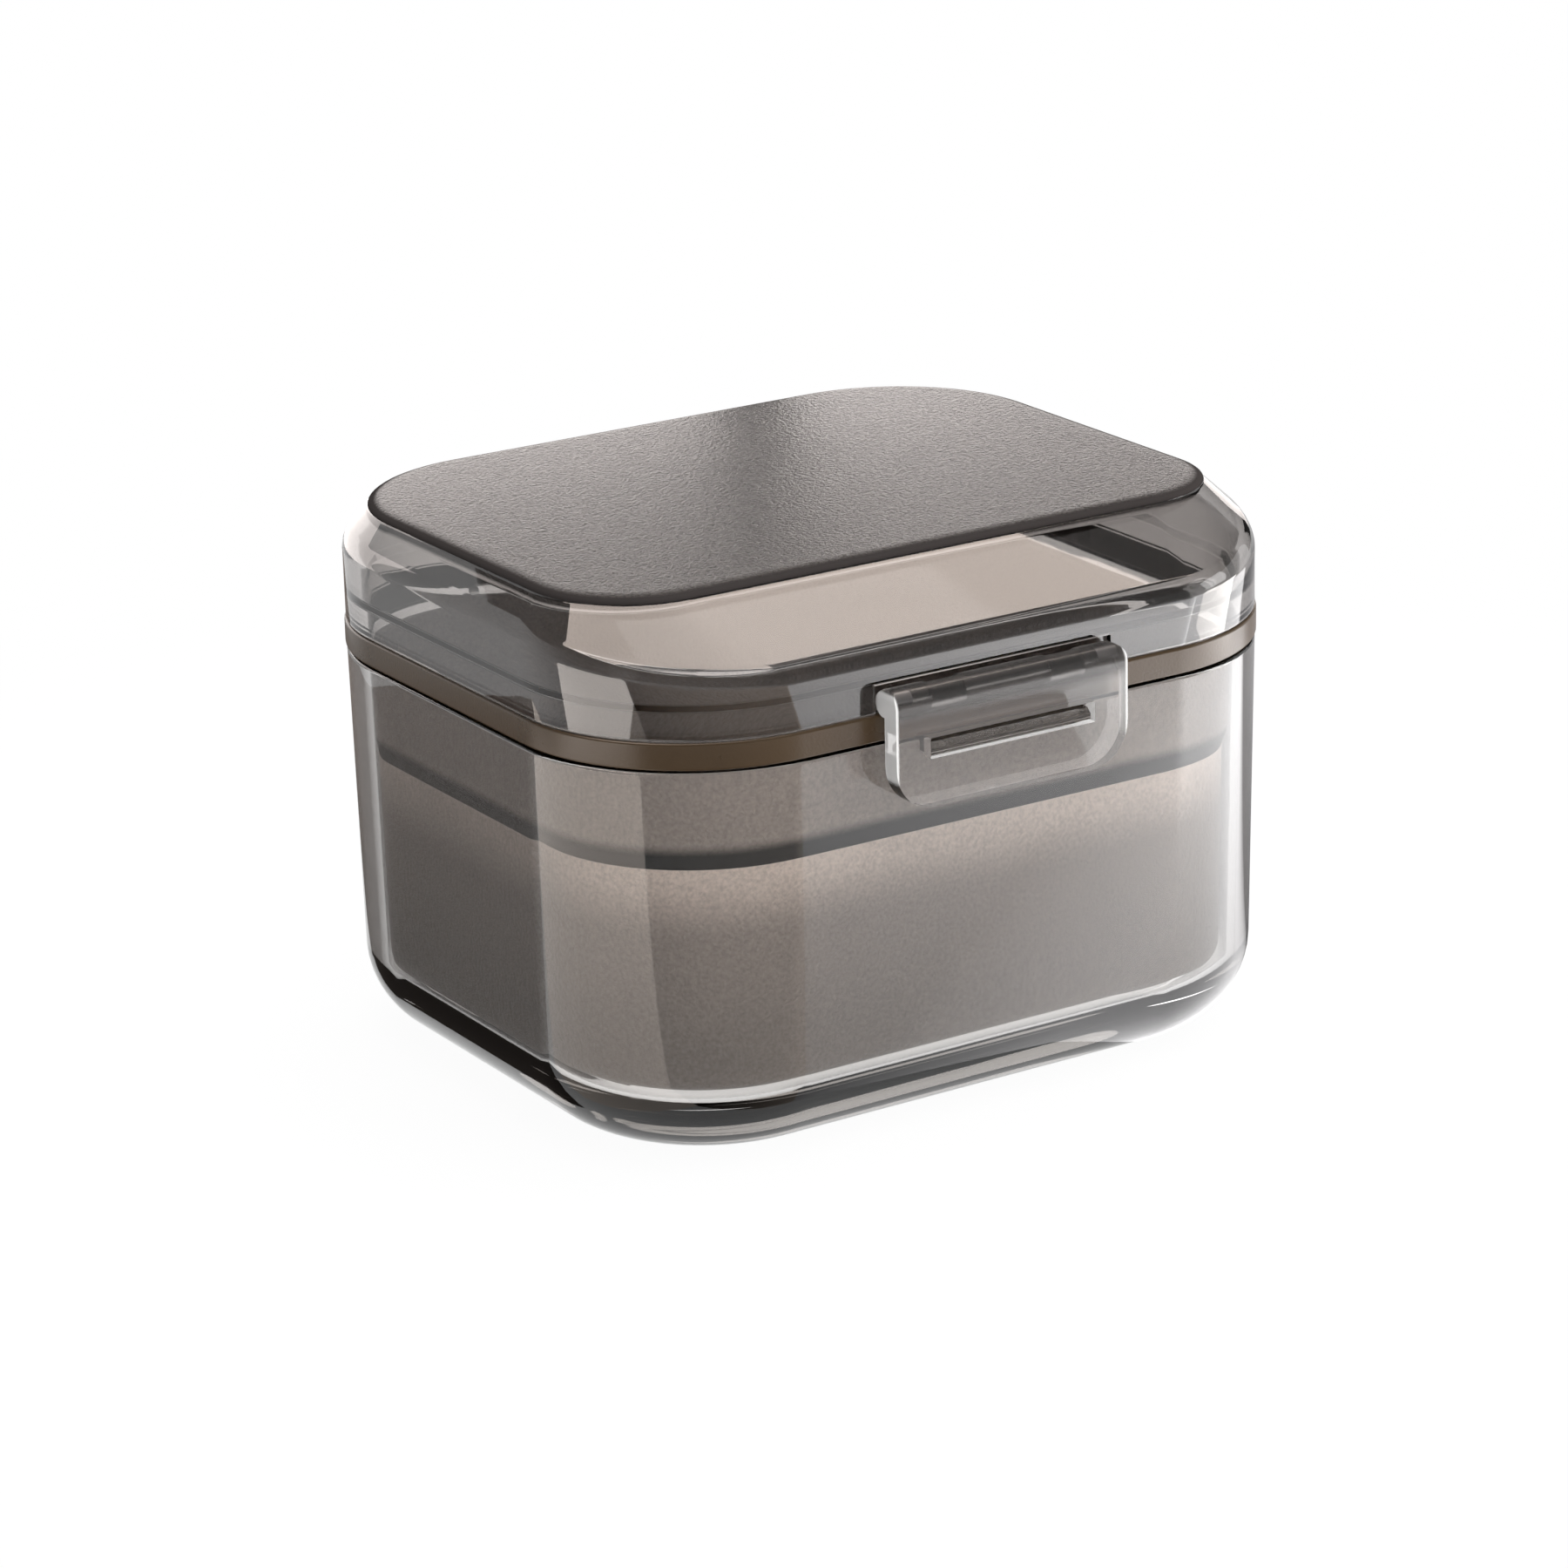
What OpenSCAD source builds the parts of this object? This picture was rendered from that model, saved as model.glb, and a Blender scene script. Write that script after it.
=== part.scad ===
// Retainer soaking case: a clear tub with a strainer basket, a hinged lid, its seal and a front clip.
// The origin is the centre of the tub's underside. The clip faces -Y, the hinge +Y and the lid +Z.

/* [Case] */
// Width of the case at the seam
case_w = 95; // [88:0.5:105]
// Depth of the case at the seam, without the clip and the hinge
case_d = 80.5; // [74:0.5:90]
// Radius of the upright corners at the seam
corner_r = 22.3; // [18:0.1:26]
// Height of the tub from its underside to the seam
tub_h = 47.2; // [40:0.2:56]
// Lean of the upright walls, in degrees
draft = 0.7; // [0.2:0.1:1.2]

/* [Tub] */
// Thickness of the tub's upright wall
tub_wall = 2.5; // [2:0.1:3]
// Thickness of the tub's clear floor
tub_floor = 6.4; // [4:0.1:8]
// Radius of the outer round under the tub
bottom_round = 10.2; // [7:0.1:12]
// Radius of the inner round at the tub's floor
inner_round = 3.8; // [2:0.1:5]

/* [Lid] */
// Height of the lid's front wall above the seam
lid_front_h = 10.4; // [9:0.1:12]
// Height of the lid's side and back walls above the seam
lid_side_h = 13.3; // [12:0.1:14]
// Height of the foot of the top panel above the seam
panel_foot_h = 16.7; // [15.5:0.1:19]
// Height of the frosted panel over its foot
panel_t = 0.8; // [0.4:0.1:1.4]
// Distance from the front wall back to the panel, the sloped front
panel_front = 12.3; // [9:0.1:16]
// Distance from the side and back walls in to the panel
panel_side = 3.2; // [2.6:0.1:4.5]
// Corner radius at the front of the panel
panel_front_r = 12.5; // [10:0.1:16]
// Corner radius of the front slope where it runs down past the wall
slope_front_r = 34; // [28:0.1:38]
// Thickness of the lid's walls and slopes
lid_wall = 2; // [1.6:0.1:2.4]
// Thickness of the lid under the panel
lid_top = 2.3; // [1.8:0.1:3]
// Thickness of the lid's heavier lower rim
rim_wall = 2.6; // [2.5:0.1:2.9]
// Height of the rim's inner ledge above the seam
ledge_h = 6.9; // [6.6:0.1:7.5]

/* [Seal] */
// Height of the seal's upper edge above the seam
seal_h = 3.5; // [2.8:0.1:3.7]
// Thickness of the seal band
seal_t = 1.7; // [1.3:0.1:1.9]
// How far the seal stands out from the wall
seal_proud = 0.15; // [0:0.05:0.3]
// Gap between the seal and the tub's rim
seam_gap = 0.3; // [0.2:0.05:0.5]

/* [Strainer basket] */
// Thickness of the basket's wall
basket_wall = 1.5; // [1.2:0.1:2]
// Thickness of the basket's floor
basket_floor = 1.6; // [1.2:0.1:2.2]
// Drop from the seam to the basket's rim
basket_drop = 0.8; // [0.5:0.1:2]
// Height of the basket's wider collar
collar_h = 11; // [8:0.1:14]
// Gap between the collar and the tub's wall
collar_gap = 0.5; // [0.4:0.05:0.8]
// How far the basket's body steps in below the collar
collar_step = 0.6; // [0.4:0.05:1]
// Height over which the collar tapers out from the body
collar_taper = 2; // [1:0.1:3]
// Radius of the round under the basket
basket_round = 3; // [2:0.1:4]
// Height of the corner feet
foot_h = 1; // [0.6:0.1:2]
// Radial width of the corner feet
foot_w = 2.4; // [1.6:0.1:3]
// Angle that each corner foot spans, in degrees
foot_span = 44; // [30:1:60]
// Gap between the feet and the tub's floor
foot_gap = 0.2; // [0.1:0.05:0.4]
// Diameter of the drain holes
drain_d = 3.2; // [2.4:0.1:4]
// Spacing of the drain holes
drain_pitch = 6.6; // [5.5:0.1:9]

/* [Clip] */
// Width of the clip
clip_w = 31.2; // [28:0.2:34]
// Height of the clip's top above the seam
clip_top = 6.6; // [6.4:0.1:7]
// Depth of the clip's lower edge under the seam
clip_low = 7.2; // [6:0.1:9]
// Thickness of the clip's plate
clip_t = 2.3; // [1.8:0.1:2.5]
// How far the clip's face stands out from the front wall
clip_out = 3.6; // [3.4:0.1:4]
// Radius of the clip's rounded top edge
clip_round = 2; // [1.2:0.1:2.2]
// Radius of the clip's lower corners
clip_corner_r = 5; // [3:0.1:6]
// Radius of the clip's upper corners
clip_shoulder_r = 1.2; // [0.6:0.1:2]
// Width of the clip's slot
slot_w = 22.2; // [18:0.2:24]
// Height of the clip's slot
slot_h = 2.4; // [2:0.1:3]
// Depth of the slot's lower edge under the seam
slot_low = 1.6; // [1.5:0.1:2]
// Radius of the clip's barrel
barrel_r = 1.6; // [1.5:0.05:1.7]
// How far the barrel reaches back into the lid's pocket
barrel_back = 0.45; // [0.3:0.05:0.5]
// Gap over the barrel in the lid's pocket
pocket_gap = 0.2; // [0.15:0.05:0.3]
// Diameter of the clip's pin
clip_pin_d = 1; // [0.8:0.05:1.1]
// Largest swing of the clip, in degrees
clip_swing = 65; // [62:1:68]
// Width of each lid lug that holds the pin
lug_w = 4; // [3:0.1:5]
// Distance from the middle of the case to each lug
lug_x = 8; // [5.5:0.1:11]
// Wall of the lug's eye round the pin
lug_wall = 0.45; // [0.4:0.05:0.5]
// Thickness of the lug's stem
lug_stem = 1.2; // [1.2:0.05:1.3]
// Fall of the lug's stem into the lid's wall, in degrees
lug_tilt = 15; // [13:1:16]
// How far the tub's catch rib stays behind the clip's face
rib_back = 0.4; // [0.3:0.1:0.8]
// Chamfer on the catch rib's upper edge
rib_lead = 0.7; // [0.4:0.1:0.9]

/* [Hinge] */
// Diameter of the hinge pin
hinge_pin_d = 2; // [1.6:0.1:2.4]
// Radius of the hinge knuckles
knuckle_r = 2.4; // [2:0.1:2.8]
// Length of the whole hinge
hinge_len = 40; // [34:1:44]
// Length of each of the tub's two knuckles
tub_knuckle_len = 8; // [6:0.5:10]
// Height of the hinge axis above the seam
hinge_h = 1.9; // [1.4:0.1:2.2]
// Gap between the knuckles and the back wall
knuckle_gap = 0.5; // [0.4:0.1:0.8]
// Height of the arms that carry the tub's knuckles
tub_arm_h = 6.6; // [5:0.1:8]
// Height of the arm that carries the lid's knuckle
lid_arm_h = 4.6; // [4:0.1:5.5]

/* [Fits] */
// Gap between parts that move past each other
clear = 0.3; // [0.25:0.05:0.4]
// Gap round a pin that turns
run_fit = 0.06; // [0.03:0.01:0.09]
// Gap round a pin that is held
hold_fit = 0.02; // [0:0.01:0.02]

/* [Hidden] */
$fn = 96;
hull_fn = 64;
lean = tan(draft);
// Small overlaps that let pieces of one solid join, cuts that pass right through, and an edge's set-back
join = 0.8;
past = 1;
thin = 0.2;
step_back = 0.1;

// Centres of the upright corners
corner_x = case_w / 2 - corner_r;
corner_y = case_d / 2 - corner_r;

// Lid slopes, as rise over run, and the heights and insets of the hollow that keep the wall's thickness
front_slope = (panel_foot_h - lid_front_h) / panel_front;
side_slope = (panel_foot_h - lid_side_h) / panel_side;
front_drop = lid_wall * sqrt(1 + front_slope * front_slope);
side_drop = lid_wall * sqrt(1 + side_slope * side_slope);
hollow_top = panel_foot_h + panel_t - lid_top;
hollow_front = (hollow_top - lid_front_h + front_drop) / front_slope;
hollow_side = (hollow_top - lid_side_h + side_drop) / side_slope;

// Strainer basket, from the tub's inside
shoulder_z = tub_h - basket_drop - collar_h;
collar_in = tub_wall + (tub_h - shoulder_z) * lean + collar_gap;
body_in = collar_in + collar_step;
basket_z = tub_floor + foot_gap + foot_h;

// Clip and its pivot: how far each lies in front of the case's front wall
pivot_z = tub_h + clip_top - barrel_r;
pivot_out = barrel_r - barrel_back;
pivot_y = -case_d / 2 - pivot_out;
pocket_deep = barrel_back + clear;
pocket_top = clip_top + pocket_gap;
lug_r = clip_pin_d / 2 + lug_wall;
rib_out = clip_out - rib_back;
rib_h = slot_low - clear;
// Spare swing in the clip's room for a lug, in degrees
room_spare = 2;

// Hinge
hinge_y = case_d / 2 + knuckle_r + knuckle_gap;
hinge_z = tub_h + hinge_h;
lid_knuckle_len = hinge_len - 2 * (tub_knuckle_len + clear);

// Plan of the case: a rectangle with true round corners
module rounded(w, d, r) {
  square([w - 2 * r, d], center = true);
  square([w, d - 2 * r], center = true);
  for (x = [-1, 1], y = [-1, 1]) translate([x * (w / 2 - r), y * (d / 2 - r)]) circle(r);
}

module inset_plan(inset) rounded(case_w - 2 * inset, case_d - 2 * inset, corner_r - inset);

module plan_slab(inset, z, h) translate([0, 0, z]) linear_extrude(h) inset_plan(inset);

// Plan of the top panel, rounder at the back, where it keeps the case's corner centres
module panel_plan(front, side, front_r, back_r) {
  w = case_w - 2 * side;
  d = case_d - front - side;
  translate([0, (front - side) / 2]) {
    intersection() {
      rounded(w, d, front_r);
      translate([-w / 2, -d / 2]) square([w, d / 2]);
    }
    intersection() {
      rounded(w, d, back_r);
      translate([-w / 2, 0]) square([w, d / 2]);
    }
  }
}

// Upright section of a bowl from its corner axis outwards, with a leaning wall and a round at the floor
module bowl_section(reach, h, round_r, over) {
  cx = reach - (round_r + (h - round_r) * sin(draft)) / cos(draft);
  touch = [cx + round_r * cos(draft), round_r * (1 - sin(draft))];
  polygon([[0, 0], [cx, 0], touch, [reach, h], [reach, h + over], [0, h + over]]);
  intersection() {
    translate([cx, round_r]) circle(round_r);
    polygon([[cx, 0], [cx + 2 * round_r, 0], [cx + 2 * round_r, round_r * (1 - 2 * lean)], [cx, round_r]]);
  }
}

// A section drawn from the corner axis outwards, turned at the corners of the plan and run along its sides
module plan_run() {
  for (corner = [[1, 1, 0], [-1, 1, 90], [-1, -1, 180], [1, -1, 270]])
    translate([corner[0] * corner_x, corner[1] * corner_y, 0]) rotate(corner[2])
      rotate_extrude(angle = 90) children();
  for (turn = [0, 180]) rotate(turn) {
    translate([-corner_x, corner_y, 0]) rotate([90, 0, 90])
      linear_extrude(2 * corner_x) children();
    translate([corner_x, -corner_y, 0]) rotate([90, 0, 0]) mirror([0, 0, 1])
      linear_extrude(2 * corner_y) children();
  }
}

// Solid bowl on the rounded plan
module bowl(inset, h, round_r, over = 0) {
  plan_run() bowl_section(corner_r - inset, h, round_r, over);
  linear_extrude(h + over) square([2 * corner_x, 2 * corner_y], center = true);
}

// A section drawn as distance out from the front wall and height over the seam, run across the front
module front_run(w) mirror([0, 1, 0]) translate([-w / 2, case_d / 2, tub_h])
  rotate([90, 0, 90]) linear_extrude(w) children();

// The same at the back, from x to x + w
module back_run(x, w) translate([x, case_d / 2, tub_h]) rotate([90, 0, 90]) linear_extrude(w) children();

module along_x(x, w, y, z, r) translate([x, y, z]) rotate([0, 90, 0]) cylinder(h = w, r = r);

// One knuckle with the arm that ties it to its wall, above the seam for the lid and below it for the tub
module knuckle(x, w, near, far) {
  axis = [hinge_y - case_d / 2, hinge_h];
  corner = knuckle_r * cos(45);
  up = sign(far - near);
  back_run(x, w) {
    translate(axis) circle(knuckle_r);
    polygon([
      [-join, near],
      [-join, far],
      axis + [corner, up * corner],
      axis,
      [axis[0] - knuckle_r + join / 2, near],
    ]);
  }
}

module tub() color([0.42, 0.39, 0.37, 0.35]) difference() {
  union() {
    bowl(0, tub_h, bottom_round);
    front_run(slot_w - 2 * clear)
      polygon([
        [-join, -rib_h],
        [rib_out, -rib_h],
        [rib_out, -rib_lead],
        [rib_out - rib_lead, 0],
        [-join, 0],
      ]);
    for (x = [-hinge_len / 2, hinge_len / 2 - tub_knuckle_len])
      knuckle(x, tub_knuckle_len, -step_back, -step_back - tub_arm_h);
  }
  translate([0, 0, tub_floor])
    bowl(tub_wall, tub_h - tub_floor, inner_round, past);
  along_x(-hinge_len / 2 - past, hinge_len + 2 * past, hinge_y, hinge_z, hinge_pin_d / 2 + hold_fit);
}

// Centres of the drain holes: staggered rows that stay clear of the floor's round
function drain_spots(w, d, r) =
  let (row_step = drain_pitch * sin(60))
  let (rows = floor(d / 2 / row_step), columns = floor(w / 2 / drain_pitch) + 1)
  [for (row = [-rows:rows], column = [-columns:columns])
    let (x = (column + abs(row % 2) / 2) * drain_pitch, y = row * row_step)
    let (over = [max(abs(x) - (w / 2 - r), 0), max(abs(y) - (d / 2 - r), 0)])
    if (norm(over) <= r) [x, y]];

module strainer_basket() color([0.55, 0.52, 0.5, 0.8]) {
  body_h = shoulder_z - basket_z;
  drain_edge = body_in + (tub_h - basket_z) * lean + basket_round + drain_d / 2;
  corner_reach = corner_r - drain_edge + drain_d / 2;
  difference() {
    union() {
      translate([0, 0, basket_z]) bowl(body_in, body_h, basket_round, collar_taper);
      translate([0, 0, shoulder_z]) plan_run()
        polygon([
          [0, 0],
          [corner_r - body_in, 0],
          [corner_r - collar_in, collar_taper],
          [0, collar_taper],
        ]);
      plan_slab(collar_in, shoulder_z + collar_taper, collar_h - collar_taper);
      for (corner = [[1, 1, 45], [-1, 1, 135], [-1, -1, 225], [1, -1, 315]])
        translate([corner[0] * corner_x, corner[1] * corner_y, basket_z - foot_h])
          rotate(corner[2] - foot_span / 2)
            rotate_extrude(angle = foot_span)
              translate([corner_reach - foot_w, 0]) square([foot_w, foot_h + join]);
    }
    translate([0, 0, basket_z + basket_floor])
      bowl(body_in + basket_wall, body_h - basket_floor, basket_round - basket_wall / 2, collar_h + past);
    plan_slab(collar_in + basket_wall, shoulder_z + basket_wall, collar_h);
    for (spot = drain_spots(case_w - 2 * drain_edge, case_d - 2 * drain_edge, corner_r - drain_edge - foot_w))
      translate([spot[0], spot[1], basket_z - past])
        cylinder(h = basket_floor + 2 * past, d = drain_d);
  }
}

// Domed block of the lid: upright walls cut by the sloped front and the steeper sides, with a flat top
module lid_dome(inset, low, top_h, top_front, top_side, top_r, low_r) {
  fall = top_h - low;
  low_side = top_side - fall / side_slope;
  intersection() {
    plan_slab(inset, tub_h + low, fall);
    translate([0, 0, tub_h]) hull() {
      translate([0, 0, top_h - thin]) linear_extrude(thin)
        panel_plan(top_front, top_side, top_r, corner_r - top_side, $fn = hull_fn);
      translate([0, 0, low - past]) linear_extrude(past)
        panel_plan(top_front - fall / front_slope, low_side, low_r, corner_r - low_side, $fn = hull_fn);
    }
  }
}

// Eye on a tilted stem that holds the clip's pin in front of the lid's pocket
module clip_lug(x) {
  reach = (pivot_out + pocket_deep + join) / cos(lug_tilt);
  translate([x - lug_w / 2, pivot_y, pivot_z]) rotate([90, 0, 90]) linear_extrude(lug_w) {
    circle(lug_r);
    rotate(-lug_tilt) translate([0, -lug_stem / 2]) square([reach, lug_stem]);
  }
}

module lid() color([0.46, 0.43, 0.41, 0.35]) difference() {
  union() {
    difference() {
      union() {
        lid_dome(0, seal_h, panel_foot_h, panel_front, panel_side, panel_front_r, slope_front_r);
        translate([0, 0, tub_h + panel_foot_h - thin]) linear_extrude(panel_t + thin)
          panel_plan(panel_front, panel_side, panel_front_r, corner_r - panel_side, $fn = hull_fn);
        plan_slab(seal_t, tub_h + seam_gap, seal_h - seam_gap + join);
        knuckle(-lid_knuckle_len / 2, lid_knuckle_len, seal_h + step_back, seal_h + step_back + lid_arm_h);
      }
      lid_dome(lid_wall, ledge_h, hollow_top, hollow_front, hollow_side,
        panel_front_r - lid_wall / 2, slope_front_r - lid_wall);
      plan_slab(rim_wall, tub_h - past, ledge_h + past + join);
      front_run(clip_w + 2 * clear)
        translate([-pocket_deep, seal_h]) square([pocket_deep + past, pocket_top - seal_h]);
    }
    for (x = [-lug_x, lug_x]) clip_lug(x);
  }
  along_x(-clip_w / 2, clip_w, pivot_y, pivot_z, clip_pin_d / 2 + hold_fit);
  along_x(-hinge_len / 2, hinge_len, hinge_y, hinge_z, hinge_pin_d / 2 + run_fit);
}

module seal_ring() color([0.47, 0.4, 0.32]) difference() {
  plan_slab(-seal_proud, tub_h + seam_gap, seal_h - seam_gap);
  plan_slab(seal_t, tub_h, seal_h + past);
}

// Upright section of the clip: the barrel on its pivot, running into the plate with a rounded top edge
module clip_section() {
  pivot = [pivot_out, pivot_z - tub_h];
  rear = clip_out - clip_t;
  round_at = [clip_out - clip_round, clip_top - clip_round];
  translate(pivot) circle(barrel_r);
  difference() {
    union() {
      translate([rear, -clip_low]) square([clip_t, clip_top + clip_low]);
      translate(pivot) square([clip_out - pivot_out, barrel_r]);
    }
    translate(round_at) difference() {
      square(clip_round + past);
      circle(clip_round);
    }
  }
}

// Front view of the clip: small upper corners and large lower ones
module clip_outline() {
  h = clip_top + clip_low;
  translate([0, (clip_top - clip_low) / 2]) {
    intersection() {
      rounded(clip_w, h, clip_shoulder_r);
      translate([-clip_w / 2, 0]) square([clip_w, h / 2]);
    }
    intersection() {
      rounded(clip_w, h, clip_corner_r);
      translate([-clip_w / 2, -h / 2]) square([clip_w, h / 2]);
    }
  }
}

// Room in the clip's barrel for one lug's eye and, from closed to swung out, for its stem
module lug_room(x) {
  room_r = lug_r + clear;
  half_stem = asin((lug_stem / 2 + clear) / room_r);
  w = lug_w + 2 * clear;
  translate([x - w / 2, pivot_y, pivot_z]) rotate([0, 90, 0]) {
    cylinder(h = w, r = room_r);
    rotate(90 - lug_tilt - half_stem)
      rotate_extrude(angle = clip_swing + 2 * half_stem + room_spare) square([barrel_r + past, w]);
  }
}

module front_clip() color([0.55, 0.53, 0.52, 0.35]) difference() {
  intersection() {
    front_run(clip_w) clip_section();
    translate([0, 0, tub_h]) rotate([90, 0, 0]) linear_extrude(case_d) clip_outline();
  }
  translate([-slot_w / 2, -case_d, tub_h - slot_low]) cube([slot_w, case_d, slot_h]);
  for (x = [-lug_x, lug_x]) lug_room(x);
  along_x(-clip_w / 2 - past, clip_w + 2 * past, pivot_y, pivot_z, clip_pin_d / 2 + run_fit);
}

module clip_pin() color([0.75, 0.75, 0.76])
  along_x(-clip_w / 2 + clear, clip_w - 2 * clear, pivot_y, pivot_z, clip_pin_d / 2);

module hinge_pin() color([0.75, 0.75, 0.76])
  along_x(-hinge_len / 2, hinge_len, hinge_y, hinge_z, hinge_pin_d / 2);

tub();
strainer_basket();
lid();
seal_ring();
front_clip();
clip_pin();
hinge_pin();
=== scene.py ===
import math

import bmesh
import bpy
from mathutils import Matrix, Vector
from mathutils.kdtree import KDTree


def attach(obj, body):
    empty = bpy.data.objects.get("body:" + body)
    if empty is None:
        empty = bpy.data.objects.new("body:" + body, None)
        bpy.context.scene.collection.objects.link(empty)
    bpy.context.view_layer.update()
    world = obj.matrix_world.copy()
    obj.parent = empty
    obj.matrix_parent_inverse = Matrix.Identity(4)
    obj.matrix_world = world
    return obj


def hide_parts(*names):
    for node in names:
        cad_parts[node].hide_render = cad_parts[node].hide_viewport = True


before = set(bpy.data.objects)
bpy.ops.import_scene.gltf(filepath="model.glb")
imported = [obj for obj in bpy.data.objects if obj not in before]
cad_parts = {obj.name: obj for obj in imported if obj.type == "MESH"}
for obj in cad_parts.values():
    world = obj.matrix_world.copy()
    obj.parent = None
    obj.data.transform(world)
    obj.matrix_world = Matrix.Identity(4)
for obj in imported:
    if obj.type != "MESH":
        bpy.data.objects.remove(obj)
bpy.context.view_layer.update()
MM = 0.001
bpy.context.scene.view_settings.view_transform = "Standard"

# Camera
# A long lens on a stand, to the left of the clip and above the lid, level within a degree or two.
# It aims at the middle of the seam between tub and lid, which sits a little above the frame's middle.
seam = 47.2
turn, rise, roll = (math.radians(angle) for angle in (-32.175, 18.772, -1.378))
reach, slide_right, slide_up = 628.94, -1.82, -17.74
sensor_w, focal = 36, 123.06
back = Vector((math.sin(turn) * math.cos(rise), -math.cos(turn) * math.cos(rise), math.sin(rise)))
level = Vector((math.cos(turn), math.sin(turn), 0))
upright = back.cross(level)
across = math.cos(roll) * level + math.sin(roll) * upright
above = math.cos(roll) * upright - math.sin(roll) * level
eye = (Vector((0, 0, seam)) + reach * back + slide_right * across + slide_up * above) * MM
lens = bpy.data.cameras.new("camera")
lens.sensor_width, lens.lens = sensor_w, focal
camera = bpy.data.objects.new("camera", lens)
bpy.context.scene.collection.objects.link(camera)
camera.matrix_world = Matrix.Translation(eye) @ Matrix((across, above, back)).transposed().to_4x4()
bpy.context.scene.camera = camera


# Studio
# A white sweep all round, a large soft lamp over the case, a strip lamp on each side and a pale floor. The sweep
# shows white to the lens and in glass, and its light on matt surfaces comes mostly from the front right.
# Glowing cards on the floor, behind the case and over it draw the light and dark shapes in the clear plastic.
class Shade:
    """One socket of a node tree, so that shader maths reads as plain expressions."""

    def __init__(self, tree, socket=None):
        self.tree = tree
        self.socket = socket

    def add(self, kind, settings=(), sockets=(), out=0):
        """Adds a node: its settings come first, then the values or links of its sockets."""
        node = self.tree.nodes.new("ShaderNode" + kind)
        for name, value in dict(settings).items():
            setattr(node, name, value)
        for name, value in dict(sockets).items():
            if isinstance(value, Shade):
                self.tree.links.new(value.socket, node.inputs[name])
            else:
                node.inputs[name].default_value = value
        return Shade(self.tree, node.outputs[out] if node.outputs else None)

    def maths(self, operation, first, second=0):
        return self.add("Math", {"operation": operation}, {0: first, 1: second})

    def __add__(self, other):
        return self.maths("ADD", self, other)

    def __radd__(self, other):
        return self.maths("ADD", other, self)

    def __sub__(self, other):
        return self.maths("SUBTRACT", self, other)

    def __rsub__(self, other):
        return self.maths("SUBTRACT", other, self)

    def __mul__(self, other):
        return self.maths("MULTIPLY", self, other)

    def __rmul__(self, other):
        return self.maths("MULTIPLY", other, self)

    def at_most(self, other):
        return self.maths("MINIMUM", self, other)

    def over(self, other):
        return self.maths("GREATER_THAN", self, other)

    def vectors(self, operation, first, second=(0, 0, 0), out=0):
        return self.add("VectorMath", {"operation": operation}, {0: first, 1: second}, out)

    def along(self, axis):
        """One axis of this vector."""
        return self.add("SeparateXYZ", {}, {0: self}, axis)

    def ramp(self, low, high, first=0, last=1, soft=True):
        """Runs from the first value to the last while this value runs from low to high."""
        return self.add("MapRange", {"interpolation_type": "SMOOTHSTEP" if soft else "LINEAR"},
                        {"Value": self, "From Min": low, "From Max": high, "To Min": first, "To Max": last})

    def blend(self, first, second):
        """Mixes two colours by this value."""
        return self.add("Mix", {"data_type": "RGBA"}, {0: self, 6: first, 7: second}, 2)

    def merge(self, first, second):
        """Mixes two surfaces by this value."""
        return self.add("MixShader", {}, {0: self, 1: first, 2: second})

    def place(self, kind="Object"):
        return self.add("TexCoord", out=kind)

    def noise(self, scale, detail, roughness=0.5):
        """Noise at this place."""
        return self.add("TexNoise", {}, {"Vector": self, "Scale": scale, "Detail": detail, "Roughness": roughness})

    def bump(self, strength, distance):
        """Relief with this height."""
        return self.add("Bump", {}, {"Strength": strength, "Distance": distance, "Height": self})

    def path(self, kind):
        """What the light path says of a ray."""
        return self.add("LightPath", out=kind)

    def straight(self, kind):
        """1 for rays of one kind that met no matt surface on their way from the lens."""
        return self.maths("LESS_THAN", self.path("Diffuse Depth"), 0.5) * self.path(kind)


def new_material(name):
    """A material with an empty node tree, and the wrapper that fills it."""
    material = bpy.data.materials.new(name)
    material.use_nodes = True
    material.node_tree.nodes.clear()
    return material, Shade(material.node_tree)


def dress(piece, material, surface, body=None):
    """Ends a material with its surface and what its body absorbs, and gives it to a piece."""
    surface.add("OutputMaterial", {}, {"Surface": surface, "Volume": body} if body else {"Surface": surface})
    piece.data.materials.append(material)


sweep = bpy.data.worlds.new("white_sweep")
bpy.context.scene.world = sweep
sweep.use_nodes = True
sweep.node_tree.nodes.clear()
shade = Shade(sweep.node_tree)
room_light, shade_side, lens_side = 2.3, 0.3, 0.2
lens_way, left_way = (back.x, back.y, 0), (-0.95, 0.3, 0)
seen = (shade.path("Is Camera Ray") + shade.straight("Is Transmission Ray")).at_most(1)
gloss = shade.straight("Is Glossy Ray")
toward_lens = shade.vectors("DOT_PRODUCT", shade.place("Generated"), lens_way, "Value")
sweep_end = toward_lens.ramp(-0.2, 0.5, 1, lens_side)
toward_left = shade.vectors("DOT_PRODUCT", shade.place("Generated"), left_way, "Value")
room = toward_left.ramp(-0.3, 0.6, room_light, shade_side)
light = seen + (1 - seen) * (gloss * sweep_end + (1 - gloss) * room)
glow = shade.add("Background", {}, {"Color": (1, 1, 1, 1), "Strength": light})
shade.add("OutputWorld", {}, {"Surface": glow})

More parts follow.
